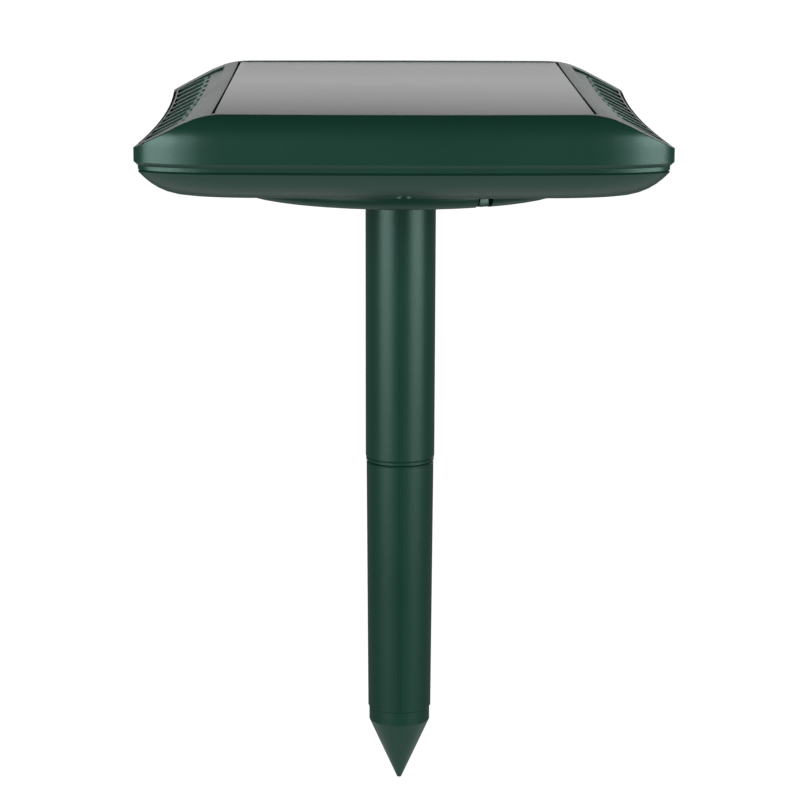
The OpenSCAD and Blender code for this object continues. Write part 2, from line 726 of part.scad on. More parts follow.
top_housing();
bottom_housing();
left_grille();
right_grille();
panel_cover();
solar_cells();
panel_board();
panel_tape();
housing_gasket();
housing_screws();
battery_door();
door_seal();
door_screws();
battery_cells();
battery_springs();
battery_contacts();
main_board();
board_screws();
control_chips();
capacitors();
drive_coils();
wire_connectors();
indicator_led();
switch_body();
switch_knob();
emitter_cans();
emitter_cones();
emitter_boots();
panel_wires();
battery_wires();
emitter_wires();
switch_wires();
upper_tube();
lower_tube();
stake_tip();
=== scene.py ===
import math

import bmesh
import bpy
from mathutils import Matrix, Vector


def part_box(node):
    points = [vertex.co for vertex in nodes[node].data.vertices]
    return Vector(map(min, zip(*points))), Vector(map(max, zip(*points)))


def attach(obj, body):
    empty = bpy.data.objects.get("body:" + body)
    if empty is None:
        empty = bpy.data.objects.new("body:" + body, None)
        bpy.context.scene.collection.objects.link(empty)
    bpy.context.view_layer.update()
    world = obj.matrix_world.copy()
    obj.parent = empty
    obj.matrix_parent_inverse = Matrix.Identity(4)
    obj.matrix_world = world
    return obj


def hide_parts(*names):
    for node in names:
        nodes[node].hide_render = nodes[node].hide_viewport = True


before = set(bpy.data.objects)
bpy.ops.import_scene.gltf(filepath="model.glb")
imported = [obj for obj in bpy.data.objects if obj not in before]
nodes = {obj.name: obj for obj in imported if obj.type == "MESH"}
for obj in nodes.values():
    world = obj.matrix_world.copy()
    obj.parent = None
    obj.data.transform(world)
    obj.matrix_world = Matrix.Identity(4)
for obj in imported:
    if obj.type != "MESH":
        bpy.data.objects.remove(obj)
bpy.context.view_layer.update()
mm = 0.001

# Camera: a little above the head and to its left, far back with a long lens, so that the
# head's sides run together only slightly. Heights are given from the head's rim.
top_rise = 9.6 * mm
rim_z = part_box("top_housing")[1].z - top_rise
camera_place = Vector((-9.9 * mm, -848.8 * mm, rim_z + 89.3 * mm))
camera_pitch = 0.2065
camera_turn = 0.0116
camera_roll = 0.0028
camera_lens = 125.06
bpy.ops.object.camera_add(location=camera_place, rotation=(math.pi / 2 - camera_pitch, 0, -camera_turn))
camera = bpy.context.object
camera.rotation_euler.rotate_axis("Z", camera_roll)
camera.data.sensor_width = 36
camera.data.lens = camera_lens
bpy.context.scene.camera = camera

# Floor: a plain white paper sheet, well under the stake, that fills the view behind the
# object. It looks white to the camera and throws back only a little light.
floor_z = -0.32
paper_white = 1.05
paper_bounce = 0.16
bpy.ops.mesh.primitive_plane_add(size=80, location=(0, 0, floor_z))
floor = bpy.context.object
floor.name = "floor"
paper = bpy.data.materials.new("floor_paper")
paper.use_nodes = True
paper_nodes = paper.node_tree.nodes
paper_nodes.clear()
seen = paper_nodes.new("ShaderNodeLightPath")
white = paper_nodes.new("ShaderNodeEmission")
white.inputs["Strength"].default_value = paper_white
dull = paper_nodes.new("ShaderNodeEmission")
dull.inputs["Color"].default_value = (0.93, 1.0, 0.96, 1)
dull.inputs["Strength"].default_value = paper_bounce
choose = paper_nodes.new("ShaderNodeMixShader")
paper_out = paper_nodes.new("ShaderNodeOutputMaterial")
for output, target in ((seen.outputs["Is Camera Ray"], choose.inputs[0]),
                       (dull.outputs[0], choose.inputs[1]),
                       (white.outputs[0], choose.inputs[2]),
                       (choose.outputs[0], paper_out.inputs[0])):
    paper.node_tree.links.new(output, target)
floor.data.materials.append(paper)

# Studio light: a tall soft box on each side in front, a long one behind for the panel's
# sheen, a small one underneath, and a dim even sky that looks white to the camera.
sky_level = 0.05
world = bpy.data.worlds.new("studio")
world.use_nodes = True
sky = world.node_tree.nodes["Background"]
sky.inputs["Color"].default_value = (0.95, 1.0, 0.98, 1)
sky.inputs["Strength"].default_value = sky_level
backdrop = world.node_tree.nodes.new("ShaderNodeBackground")
backdrop.inputs["Color"].default_value = (1, 1, 1, 1)
backdrop.inputs["Strength"].default_value = paper_white
from_camera = world.node_tree.nodes.new("ShaderNodeLightPath")
choose = world.node_tree.nodes.new("ShaderNodeMixShader")
for output, target in ((from_camera.outputs["Is Camera Ray"], choose.inputs[0]),
                       (sky.outputs[0], choose.inputs[1]),
                       (backdrop.outputs[0], choose.inputs[2]),
                       (choose.outputs[0], world.node_tree.nodes["World Output"].inputs[0])):
    world.node_tree.links.new(output, target)
bpy.context.scene.world = world
bpy.context.scene.view_settings.view_transform = "Standard"


def soft_box(name, azimuth, distance, height, width, tall, power):
    """An area light aimed at the head, azimuth in degrees from the camera's side."""
    angle = math.radians(azimuth)
    place = Vector((distance * math.sin(angle), -distance * math.cos(angle), height))
    bpy.ops.object.light_add(type="AREA", location=place)
    light = bpy.context.object
    light.name = name
    light.data.shape = "RECTANGLE"
    light.data.size, light.data.size_y = width, tall
    light.data.energy = power
    aim = Vector((0, 0, height)) - place
    light.rotation_euler = aim.to_track_quat("-Z", "Y").to_euler()
    return light


soft_box("left_box", azimuth=-48, distance=1.3, height=0.365, width=1.0, tall=0.77, power=17)
soft_box("right_box", azimuth=54, distance=1.3, height=0.365, width=1.0, tall=0.77, power=17)
soft_box("back_glow", azimuth=167, distance=1.6, height=0.5, width=1.75, tall=0.6, power=2.7)
under = soft_box("under_bounce", azimuth=0, distance=0, height=-0.3, width=0.9, tall=0.9, power=1.2)
under.rotation_euler = (math.pi, 0, 0)
under.visible_camera = False


# Top shell of the head: moulded green plastic with a fine satin texture. Its grille sides
# bend down from the flat top to the rim, its ends lean out to it, and the panel sits in a pocket.
head_half_w = 75 * mm
head_half_d = 93 * mm
corner_wide = 26 * mm
corner_deep = 9.5 * mm
end_bow = 1.2 * mm
side_waist = 2.5 * mm
arc_start = head_half_w - corner_wide
bend_start = 50 * mm
bend_radius = 26 * mm
slope = math.radians(27)
end_lean = 5 * mm
end_curve = 3.2
band_height = 3.7 * mm
chamfer_drop = 1.2 * mm
lip_in = 1.1 * mm
lip_z = -6 * mm
shell_wall = 1.6 * mm
pocket_half_w = 53.3 * mm
pocket_half_l = 84.8 * mm
pocket_floor = 5.9 * mm
grille_in = 58 * mm
grille_half_l = 78 * mm
recess_depth = 8.6 * mm
ridge_ease = 1.1 * mm
ridge_stop = 72 * mm
edge_ease = 0.35 * mm
close = 0.12 * mm


class Wire:
    """A socket in a material's node tree. Arithmetic on wires adds Math nodes."""

    def __init__(self, tree, socket=None):
        self.tree, self.socket = tree, socket

    def node(self, kind, settings=None, inputs=None, output=0):
        made = self.tree.nodes.new("ShaderNode" + kind)
        for key, value in (settings or {}).items():
            if key == "stops":
                ramp = made.color_ramp.elements
                while len(ramp) < len(value):
                    ramp.new(0.5)
                for stop, (place, colour) in zip(ramp, value):
                    stop.position = place
                    stop.color = (*colour, 1)
            else:
                setattr(made, key, value)
        for key, value in (inputs or {}).items():
            socket = made.inputs[key]
            if isinstance(value, Wire):
                self.tree.links.new(value.socket, socket)
            else:
                socket.default_value = value
        return Wire(self.tree, made.outputs[output])

    def sum(self, operation, first, second):
        return self.node("Math", {"operation": operation}, {0: first, 1: second})

    def __add__(self, other): return self.sum("ADD", self, other)
    def __mul__(self, other): return self.sum("MULTIPLY", self, other)


def finish(name, colour, roughness, **fixed):
    """A new material's tree, its principled shader and the object position, ready for detail."""
    material = bpy.data.materials.new(name)
    material.use_nodes = True
    tree = material.node_tree
    shader = tree.nodes["Principled BSDF"]
    shader.inputs["Base Color"].default_value = (*colour, 1)
    shader.inputs["Roughness"].default_value = roughness
    for key, value in fixed.items():
        shader.inputs[key.replace("_", " ")].default_value = value
    start = Wire(tree)
    return material, shader, start, start.node("TexCoord", output="Object")


def feed(wire, shader, socket):
    wire.tree.links.new(wire.socket, shader.inputs[socket])


def moulded(name, colour, light_colour, roughness, sheen=(1, 1, 1), grain=2300, depth=0.00005, **fixed):
    """Moulded plastic: slow drifts of shade, a fine eroded texture and a few rubbed patches."""
    material, shader, start, place = finish(name, colour, roughness, **fixed)
    shader.inputs["Specular Tint"].default_value = (*sheen, 1)
    drift = start.node("TexNoise", inputs={"Vector": place, "Scale": 22, "Detail": 3}, output="Fac")
    fine = start.node("TexNoise", inputs={"Vector": place, "Scale": grain, "Detail": 2, "Roughness": 0.6},
                      output="Fac")
    rub = start.node("TexNoise", inputs={"Vector": place, "Scale": 140, "Detail": 6, "Roughness": 0.7},
                     output="Fac")
    rubbed = start.node("ValToRGB", {"stops": [(0.6, (0, 0, 0)), (0.78, (1, 1, 1))]}, {"Fac": rub})
    shade = drift * 0.5 + fine * 0.35 + rubbed * 0.15
    tint = start.node("Mix", {"data_type": "RGBA"}, {0: shade, "A": (*colour, 1), "B": (*light_colour, 1)},
                      output=2)
    feed(tint, shader, "Base Color")
    feed(drift * 0.08 + fine * 0.1 + rubbed * 0.05 + (roughness - 0.09), shader, "Roughness")
    bump = start.node("Bump", inputs={"Height": fine + rub * 0.25, "Distance": depth, "Strength": 0.5})
    feed(bump, shader, "Normal")
    return material


green_plastic = moulded("green_plastic", (0.004, 0.028, 0.017), (0.008, 0.039, 0.026), 0.33,
                        sheen=(0.68, 1.0, 0.93))


def side_height(x):
    """Height of the grille side above the rim, at a distance x from the middle."""
    bend_end = bend_start + bend_radius * math.sin(slope)
    if abs(x) <= bend_start:
        return top_rise
    if abs(x) < bend_end:
        return top_rise - bend_radius + math.sqrt(bend_radius ** 2 - (abs(x) - bend_start) ** 2)
    after_bend = top_rise - bend_radius * (1 - math.cos(slope))
    return max(after_bend * (head_half_w - abs(x)) / (head_half_w - bend_end), 0)


def end_reach(x):
    """How far the rim reaches to the front and back, at a distance x from the middle."""
    across = min(abs(x), arc_start)
    reach = head_half_d - end_bow * (across / arc_start) ** 2
    if abs(x) > arc_start:
        part = min((abs(x) - arc_start) / corner_wide, 1)
        reach -= corner_deep * (1 - math.sqrt(1 - part ** 2))
    return reach


def lean(z):
    """How far an end face has leant in from the rim, at a height above it."""
    return end_lean * (max(z, 0) / top_rise) ** end_curve


def waisted(x, y):
    """Draws the long sides in towards their middle, most at the rim."""
    hold = min(max((abs(x) - bend_start) / (head_half_w - bend_start), 0), 1)
    pull = side_waist * max(1 - (y / (head_half_d - corner_deep)) ** 2, 0)
    return x - math.copysign(pull * hold, x)


def mirrored(half):
    """A list of half-widths as places from left to right."""
    return [-v for v in reversed(half) if v > 0] + list(half)


def in_edit(obj, mode="VERT"):
    bpy.ops.object.select_all(action="DESELECT")
    bpy.context.view_layer.objects.active = obj
    obj.select_set(True)
    bpy.ops.object.mode_set(mode="EDIT")
    bpy.ops.mesh.select_mode(type=mode)


def out_of_edit():
    bpy.ops.object.mode_set(mode="OBJECT")


def pick(obj, kind, test):
    """Selects the faces, edges or vertices that pass a test on their middle, in edit mode."""
    bpy.ops.mesh.select_all(action="DESELECT")
    made = bmesh.from_edit_mesh(obj.data)
    if kind == "FACE":
        for f in made.faces:
            f.select_set(test(f.calc_center_median(), f.normal))
    elif kind == "EDGE":
        for e in made.edges:
            e.select_set(test((e.verts[0].co + e.verts[1].co) / 2, e))
    else:
        for v in made.verts:
            v.select_set(test(v.co, v))
    made.select_flush_mode()
    bmesh.update_edit_mesh(obj.data)


def reshape(obj, change):
    """Moves every vertex to change(its place)."""
    for v in obj.data.vertices:
        v.co = change(v.co)


def applied(obj, kind, **settings):
    bpy.ops.object.select_all(action="DESELECT")
    bpy.context.view_layer.objects.active = obj
    obj.select_set(True)
    modifier = obj.modifiers.new(kind.lower(), kind)
    for key, value in settings.items():
        setattr(modifier, key, value)
    bpy.ops.object.modifier_apply(modifier=modifier.name)


def dress(obj, name, material, body, slot, *stands_for, smooth=32):
    """Names a finished piece, gives it its material and ties it to the frame."""
    bpy.ops.object.select_all(action="DESELECT")
    bpy.context.view_layer.objects.active = obj
    obj.select_set(True)
    bpy.ops.object.transform_apply(location=True, rotation=True, scale=True)
    bpy.ops.object.shade_smooth_by_angle(angle=math.radians(smooth))
    obj.name = name
    obj.data.name = name
    obj.data.materials.clear()
    obj.data.materials.append(material)
    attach(obj, body)
    if stands_for:
        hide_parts(*stands_for)
    return obj


grille_out = arc_start + corner_wide * math.sin(math.radians(75))
corner_xs = [arc_start + corner_wide * math.sin(math.radians(7.5 * k)) for k in range(13)]
columns = mirrored([0, 18 * mm, 36 * mm, arc_start, bend_start, 51.7 * mm, pocket_half_w, 54.8 * mm,
                    56.4 * mm, grille_in] + corner_xs[4:])
top_rows = [0, 16 * mm, 32 * mm, 48 * mm, 64 * mm, grille_half_l, pocket_half_l]
end_steps = 8
ridge_row = len(top_rows)
row_count = 2 * (ridge_row + end_steps)


def head_point(column, row):
    """A point of the upper skin: rows run over the top, past the ridge and down the end face."""
    x = columns[column]
    ridge_z = side_height(x)
    ridge_y = end_reach(x) - lean(ridge_z)
    from_middle = abs(row - row_count // 2)
    if from_middle < ridge_row:
        y, z = top_rows[from_middle], ridge_z
        outermost = from_middle == ridge_row - 1
        if abs(x) > grille_out + mm / 10 or (outermost and abs(x) > arc_start):
            y = min(y, ridge_y * (y / (head_half_d - end_lean)))
    else:
        z = ridge_z * (1 - (from_middle - ridge_row) / end_steps)
        y = end_reach(x) - lean(z)
    y = math.copysign(y, row - row_count / 2)
    return Vector((waisted(x, y), y, rim_z + z))


bpy.ops.mesh.primitive_grid_add(x_subdivisions=len(columns) - 1, y_subdivisions=row_count, size=2)
top_shell = bpy.context.object
reshape(top_shell, lambda co: head_point(round((co.x + 1) / 2 * (len(columns) - 1)),
                                         round((co.y + 1) / 2 * row_count)))
in_edit(top_shell)
bpy.ops.mesh.select_all(action="SELECT")
bpy.ops.mesh.remove_doubles(threshold=0.00002)
bpy.ops.mesh.normals_make_consistent(inside=False)

# the ridge round the top is eased to a small radius
bpy.ops.mesh.select_mode(type="EDGE")


def on_ridge(middle, edge):
    ends = [abs(abs(v.co.y) - (end_reach(v.co.x) - lean(side_height(v.co.x)))) for v in edge.verts]
    heights = [abs(v.co.z - rim_z - side_height(v.co.x)) for v in edge.verts]
    spread = abs(edge.verts[0].co.x - edge.verts[1].co.x)
    return max(ends + heights) < close and spread > 1e-6 and abs(middle.x) < ridge_stop


pick(top_shell, "EDGE", on_ridge)
bpy.ops.mesh.bevel(offset=ridge_ease, segments=4, affect="EDGES", clamp_overlap=True)

# band, chamfer and meeting lip below the rim
pick(top_shell, "EDGE", lambda middle, edge: edge.is_boundary)
bpy.ops.mesh.extrude_region_move(TRANSFORM_OT_translate={"value": (0, 0, -band_height)})
for drop, inward in ((-chamfer_drop, lip_in), (lip_z + band_height + chamfer_drop, 0)):
    bpy.ops.mesh.extrude_region_move(TRANSFORM_OT_translate={"value": (0, 0, drop)})
    bpy.ops.transform.resize(value=(1 - inward / head_half_w, 1 - inward / head_half_d, 1),
                             center_override=(0, 0, 0))

# pocket for the panel
bpy.ops.mesh.select_mode(type="FACE")


def in_pocket(middle, normal):
    return (abs(middle.x) < pocket_half_w and abs(middle.y) < pocket_half_l
            and middle.z > rim_z + pocket_floor)


pick(top_shell, "FACE", in_pocket)
bpy.ops.mesh.extrude_region_move(TRANSFORM_OT_translate={"value": (0, 0, pocket_floor - top_rise)})
bpy.ops.transform.resize(value=(1, 1, 0), center_override=(0, 0, rim_z + pocket_floor))

# recesses under the grilles, down to the emitters
for side in (-1, 1):
    def in_grille(middle, normal):
        x = middle.x * side
        return (grille_in < x < grille_out and abs(middle.y) < grille_half_l
                and middle.z > rim_z and normal.z > 0.5)

    pick(top_shell, "FACE", in_grille)
    bpy.ops.mesh.extrude_region_move(TRANSFORM_OT_translate={
        "value": (-side * recess_depth * math.sin(slope), 0, -recess_depth * math.cos(slope))})

# the long edges of the pocket and the recesses are eased
bpy.ops.mesh.select_mode(type="EDGE")


def eased(middle, edge):
    if len(edge.link_faces) != 2 or abs(middle.y) > pocket_half_l + mm:
        return False
    first, second = [f.normal for f in edge.link_faces]
    top, wall = (first, second) if first.z > second.z else (second, first)
    at_pocket = abs(middle.z - rim_z - top_rise) < mm / 10 and abs(middle.x) < pocket_half_w + mm
    at_recess = abs(middle.x) < grille_in + mm / 10 and middle.z > rim_z + pocket_floor
    return top.z > 0.9 and abs(wall.x) > 0.8 and (at_pocket or at_recess)


pick(top_shell, "EDGE", eased)
bpy.ops.mesh.bevel(offset=edge_ease, segments=2, affect="EDGES", clamp_overlap=True)
out_of_edit()
applied(top_shell, "SOLIDIFY", thickness=shell_wall, offset=-1, use_even_offset=False)
dress(top_shell, "top_shell", green_plastic, "head", "green_shell", "top_housing")


# Grille inserts: one moulding a side, sunk a little into the shell, with long slots that are
# rounded at their inner ends and bars with eased edges between them.
sink_in = 0.9 * mm
sink_out = 0.05 * mm
grille_thick = 3.2 * mm
thin_part = 0.18
thin_run = 5 * mm
grille_gap = 0.12 * mm
slot_count = 10
slot_pitch = 15.2 * mm
slot_wide = 11.8 * mm
slot_in = 62.2 * mm
slot_out = 73.4 * mm
slot_round = 2.6 * mm
bar_ease = 1.2 * mm


def sunk(x):
    """How far the insert's face lies under the shell's, at a distance x from the middle."""
    part = min(max((x - grille_in) / (grille_out - grille_in), 0), 1)
    return sink_in + (sink_out - sink_in) * part


def thinned(x):
    """The moulding is thin by its inner edge and full thickness under the bars."""
    return thin_part + (1 - thin_part) * min(max((x - slot_in) / thin_run, 0), 1)


def grille_insert(side, name):
    outline_x = [grille_in + grille_gap, 60.2 * mm, slot_in, 67.5 * mm, 70 * mm, 72 * mm, slot_out,
                 grille_out - grille_gap]
    slots = [(k - (slot_count - 1) / 2) * slot_pitch for k in range(slot_count)]
    rows = [-grille_half_l + grille_gap]
    for middle in slots:
        rows += [middle - slot_wide / 2, middle + slot_wide / 2]
    rows.append(grille_half_l - grille_gap)
    bpy.ops.mesh.primitive_grid_add(x_subdivisions=len(outline_x) - 1, y_subdivisions=len(rows) - 1, size=2)
    insert = bpy.context.object
    reshape(insert, lambda co: Vector((outline_x[round((co.x + 1) / 2 * (len(outline_x) - 1))],
                                       rows[round((co.y + 1) / 2 * (len(rows) - 1))], 0)))
    in_edit(insert, "FACE")
    pick(insert, "FACE", lambda middle, normal: slot_in < middle.x < slot_out
         and any(abs(middle.y - y) < slot_wide / 2 for y in slots))
    bpy.ops.mesh.delete(type="FACE")
    bpy.ops.mesh.select_mode(type="VERT")
    pick(insert, "VERT", lambda co, v: v.is_boundary and abs(co.x - slot_in) < mm / 10
         and abs(co.y) < grille_half_l - mm)
    bpy.ops.mesh.bevel(offset=slot_round, segments=6, affect="VERTICES", profile=0.5)
    out_of_edit()
    applied(insert, "SOLIDIFY", thickness=grille_thick, offset=-1)
    in_edit(insert, "EDGE")
    pick(insert, "EDGE", lambda middle, edge: middle.z > -mm / 10 and len(edge.link_faces) == 2
         and edge.calc_face_angle(0) > 1 and slot_in + 2 * mm < middle.x < slot_out
         and abs(middle.y) < grille_half_l - mm and abs(edge.verts[0].co.y - edge.verts[1].co.y) < 1e-6)
    bpy.ops.mesh.bevel(offset=bar_ease, segments=4, affect="EDGES", clamp_overlap=True)
    out_of_edit()
    reshape(insert, lambda co: Vector((waisted(side * co.x, co.y), co.y,
                                       rim_z + side_height(co.x) - sunk(co.x) + co.z * thinned(co.x))))
    if side < 0:
        in_edit(insert, "FACE")
        bpy.ops.mesh.select_all(action="SELECT")
        bpy.ops.mesh.flip_normals()
        out_of_edit()
    dress(insert, name + "_insert", green_plastic, "head", "green_shell", name)


grille_insert(-1, "left_grille")
grille_insert(1, "right_grille")

# Lower shell: a shallow bowl in the same green plastic. A round boss stands out under its
# middle, with the stake's socket in it; screws, the lamp and the battery door open through it.
seam_z = -6.6 * mm
bowl_floor = -15 * mm
bowl_inset = 20.5 * mm
bowl_end = 18.4 * mm
bowl_power = 3.2
bowl_steps = 9
boss_radius = 52 * mm
boss_z = -22 * mm
boss_edge = 3 * mm
collar_radius = 15.38 * mm
collar_z = -25.5 * mm
socket_radius = 10.98 * mm
socket_top = -6.5 * mm
lower_wall = 2 * mm
door_half_w = 36 * mm
door_near = 18.48 * mm
door_far = 67.38 * mm
door_top = -12.8 * mm
door_gap = 0.3 * mm
screw_spots = [(54 * mm, 71 * mm), (-54 * mm, 71 * mm), (54 * mm, -71 * mm), (-54 * mm, -71 * mm),
               (0, 80 * mm), (0, -80 * mm)]
screw_recess = 3.1 * mm
door_screw_spots = [(x * mm, y * mm) for x in (-32.9, 32.9) for y in (27.88, 57.98)]
door_screw_r = 3 * mm
door_pilot_r = 1.3 * mm
door_screw_top = -13.6 * mm
lamp_y = -69 * mm
lamp_hole = 1.6 * mm
cup_top = -11.4 * mm
ledge_out = 2.2 * mm
ledge_top = -10.4 * mm
tub_half_w = 29.5 * mm
tub_near = 20.88 * mm
tub_far = 64.98 * mm
tub_top = 3.6 * mm
tub_wall = 1.6 * mm
below = -30 * mm
switch_turn = math.radians(27.49)


def rim_outline(inset):
    """The head's outline seen from above, as points in order all the way round."""
    quarter = [(arc_start * f, -end_reach(arc_start * f)) for f in (0.33, 0.67)]
    quarter += [(x, -end_reach(x)) for x in corner_xs]
    side_start = head_half_d - end_bow - corner_deep
    quarter += [(head_half_w, -side_start * f) for f in (0.8, 0.6, 0.4, 0.2)]
    ring = [(0, -head_half_d)] + quarter + [(head_half_w, 0)] + [(x, -y) for x, y in reversed(quarter)]
    ring += [(0, head_half_d)] + [(-x, -y) for x, y in quarter] + [(-head_half_w, 0)]
    ring += [(-x, y) for x, y in reversed(quarter)]
    ring = [(waisted(x, y), y) for x, y in ring]
    return [(x * (1 - inset / head_half_w), y * (1 - inset / head_half_d)) for x, y in ring]


def rim_ring(inset, z):
    """An open ring in the head's outline, ready to extrude."""
    outline = rim_outline(inset)
    bpy.ops.mesh.primitive_circle_add(vertices=len(outline), radius=1)
    ring = bpy.context.object
    for vertex, (x, y) in zip(ring.data.vertices, outline):
        vertex.co = (x, y, rim_z + z)
    in_edit(ring)
    bpy.ops.mesh.select_all(action="SELECT")
    return ring


def drop_ring(dz, x_scale, y_scale):
    """Extrudes the selected ring by dz and scales it about the middle."""
    bpy.ops.mesh.extrude_region_move(TRANSFORM_OT_translate={"value": (0, 0, dz)})
    bpy.ops.transform.resize(value=(x_scale, y_scale, 1), center_override=(0, 0, 0))


def turn(steps, start):
    """Extrudes the selected round ring through (radius, height) steps, the first one its own."""
    last_r, last_z = start
    for radius, height in steps:
        drop_ring(height - last_z, radius / last_r, radius / last_r)
        last_r, last_z = radius, height


def bowl_depth(inset):
    """How deep the bowl is below the seam, at a distance in from the rim."""
    return (seam_z - bowl_floor) * (1 - (1 - inset / bowl_inset) ** bowl_power)


lower_shell = rim_ring(lip_in, seam_z)
last_inset, last_z = 0, 0
half_w, half_d = head_half_w - lip_in, head_half_d - lip_in
for k in range(1, bowl_steps + 1):
    inset = bowl_end * (k / bowl_steps) ** 1.5
    drop_ring(last_z - bowl_depth(inset), (half_w - inset) / (half_w - last_inset),
              (half_d - inset) / (half_d - last_inset))
    last_inset, last_z = inset, bowl_depth(inset)
foot = boss_radius + 0.6 * mm
bpy.ops.mesh.extrude_region_move()
made = bmesh.from_edit_mesh(lower_shell.data)
for v in made.verts:
    if v.select:
        v.co.x, v.co.y = Vector((v.co.x, v.co.y)).normalized() * foot
bmesh.update_edit_mesh(lower_shell.data)
boss_steps = [(boss_radius + 0.3 * mm, bowl_floor - 0.3 * mm), (boss_radius, bowl_floor - 1.2 * mm)]
for k in range(6):
    angle = math.radians(18 * k)
    boss_steps.append((boss_radius - boss_edge * (1 - math.cos(angle)),
                       boss_z + boss_edge * (1 - math.sin(angle))))
boss_steps += [(36 * mm, boss_z), (collar_radius + 0.8 * mm, boss_z)]
turn(boss_steps, (foot, bowl_floor))
bpy.ops.mesh.select_all(action="SELECT")
bpy.ops.mesh.normals_make_consistent(inside=True)
out_of_edit()
applied(lower_shell, "SOLIDIFY", thickness=lower_wall, offset=-1, use_even_offset=True)


def block(low, high):
    """A box between two corners given from the rim."""
    low, high = Vector(low), Vector(high)
    bpy.ops.mesh.primitive_cube_add(size=1, location=(low + high) / 2 + Vector((0, 0, rim_z)))
    made_block = bpy.context.object
    made_block.scale = high - low
    bpy.ops.object.transform_apply(location=True, rotation=False, scale=True)
    return made_block


def door_block(grow, low, high):
    """A box of the battery door's outline, grown on every side."""
    return block((-door_half_w - grow, door_near - grow, low), (door_half_w + grow, door_far + grow, high))


def tub_block(grow, low, high):
    """A box of the battery space's outline, grown on every side."""
    return block((-tub_half_w - grow, tub_near - grow, low), (tub_half_w + grow, tub_far + grow, high))


def rod(x, y, radius, low, high, sides=32):
    """An upright cylinder between two heights given from the rim."""
    bpy.ops.mesh.primitive_cylinder_add(vertices=sides, radius=radius, depth=high - low,
                                        location=(x, y, rim_z + (low + high) / 2))
    bpy.ops.object.transform_apply(location=True, rotation=False, scale=False)
    return bpy.context.object


def merge(objects):
    """Joins objects into the first one."""
    bpy.ops.object.select_all(action="DESELECT")
    for obj in objects:
        obj.select_set(True)
    bpy.context.view_layer.objects.active = objects[0]
    if len(objects) > 1:
        bpy.ops.object.join()
    return bpy.context.object


def cut(obj, tools, operation="DIFFERENCE"):
    """Cuts an object with others, or keeps what they share; they are used up."""
    tool = merge(tools)
    applied(obj, "BOOLEAN", object=tool, operation=operation, solver="EXACT")
    bpy.data.objects.remove(tool, do_unlink=True)


bpy.ops.object.select_all(action="DESELECT")
bpy.context.view_layer.objects.active = lower_shell
lower_shell.select_set(True)
bpy.ops.object.duplicate()
door = bpy.context.object

openings = [door_block(door_gap, below, -12 * mm)]
openings += [rod(x, y, screw_recess, below, cup_top) for x, y in screw_spots]
openings.append(rod(0, lamp_y, lamp_hole, -20 * mm, -10 * mm))
cut(lower_shell, openings)
slot_tool = block((-2 * mm, -boss_radius - 2 * mm, boss_z - 0.5 * mm),
                  (3 * mm, -boss_radius + 4.5 * mm, boss_z + 3.4 * mm))
slot_tool.rotation_euler.z = switch_turn
bpy.ops.object.transform_apply(rotation=True)
cut(lower_shell, [slot_tool])

# the socket for the stake: a collar below the boss and a bore closed at its top
collar_steps = [(collar_radius, boss_z - 0.8 * mm), (collar_radius, collar_z + 0.6 * mm),
                (collar_radius - 0.6 * mm, collar_z), (socket_radius + 0.5 * mm, collar_z),
                (socket_radius, collar_z + 0.5 * mm), (socket_radius, socket_top)]
bpy.ops.mesh.primitive_circle_add(vertices=80, radius=collar_radius + 0.8 * mm,
                                  location=(0, 0, rim_z + boss_z))
socket = bpy.context.object
bpy.ops.object.transform_apply(location=True, rotation=False, scale=False)
in_edit(socket)
bpy.ops.mesh.select_all(action="SELECT")
turn(collar_steps, (collar_radius + 0.8 * mm, boss_z))
bpy.ops.mesh.edge_face_add()
bpy.ops.mesh.select_all(action="SELECT")
bpy.ops.mesh.normals_make_consistent(inside=False)
out_of_edit()

# cups behind the screw holes, the ledge round the door and the walls of the battery space
inside = []
for x, y in screw_spots:
    cup = rod(x, y, screw_recess + 1 * mm, -13.4 * mm, -9 * mm)
    cut(cup, [rod(x, y, screw_recess, -20 * mm, cup_top)])
    inside.append(cup)
ledge = door_block(ledge_out, -13.2 * mm, ledge_top)
cut(ledge, [door_block(door_gap, -14 * mm, -12 * mm)])
cut(ledge, [tub_block(0, -16 * mm, 0)])
cut(ledge, [rod(x, y, door_pilot_r, -14 * mm, -8 * mm) for x, y in door_screw_spots])
skirt = door_block(ledge_out, boss_z + 1.5 * mm, -12.5 * mm)
cut(skirt, [door_block(door_gap, below, 0)])
cut(skirt, [rod(0, 0, boss_radius - 1.2 * mm, below, 0, sides=96)], "INTERSECT")
tub = tub_block(tub_wall, -11 * mm, tub_top)
cut(tub, [tub_block(0, -16 * mm, 10 * mm)])
lower_shell = merge([lower_shell, socket, ledge, skirt, tub] + inside)
dress(lower_shell, "lower_shell", green_plastic, "head", "green_shell", "bottom_housing", smooth=28)

# Battery door: moulded like the shell round it, so the boss runs on across it. It is held by
# four screws in sunk holes, and posts stand round the holes where the boss is deep.
cut(door, [door_block(0, below, door_top)], "INTERSECT")
cut(door, [rod(x, y, door_screw_r, below, door_screw_top) for x, y in door_screw_spots])
posts = []
for x, y in door_screw_spots:
    if math.hypot(x, y) <= boss_radius - 5 * mm:
        post = rod(x, y, door_screw_r + 1 * mm, boss_z + 1.2 * mm, door_top)
        cut(post, [rod(x, y, door_screw_r, below, door_screw_top)])
        posts.append(post)
door = merge([door] + posts)
dress(door, "battery_door_cover", green_plastic, "battery_hatch", "green_shell", "battery_door", smooth=28)

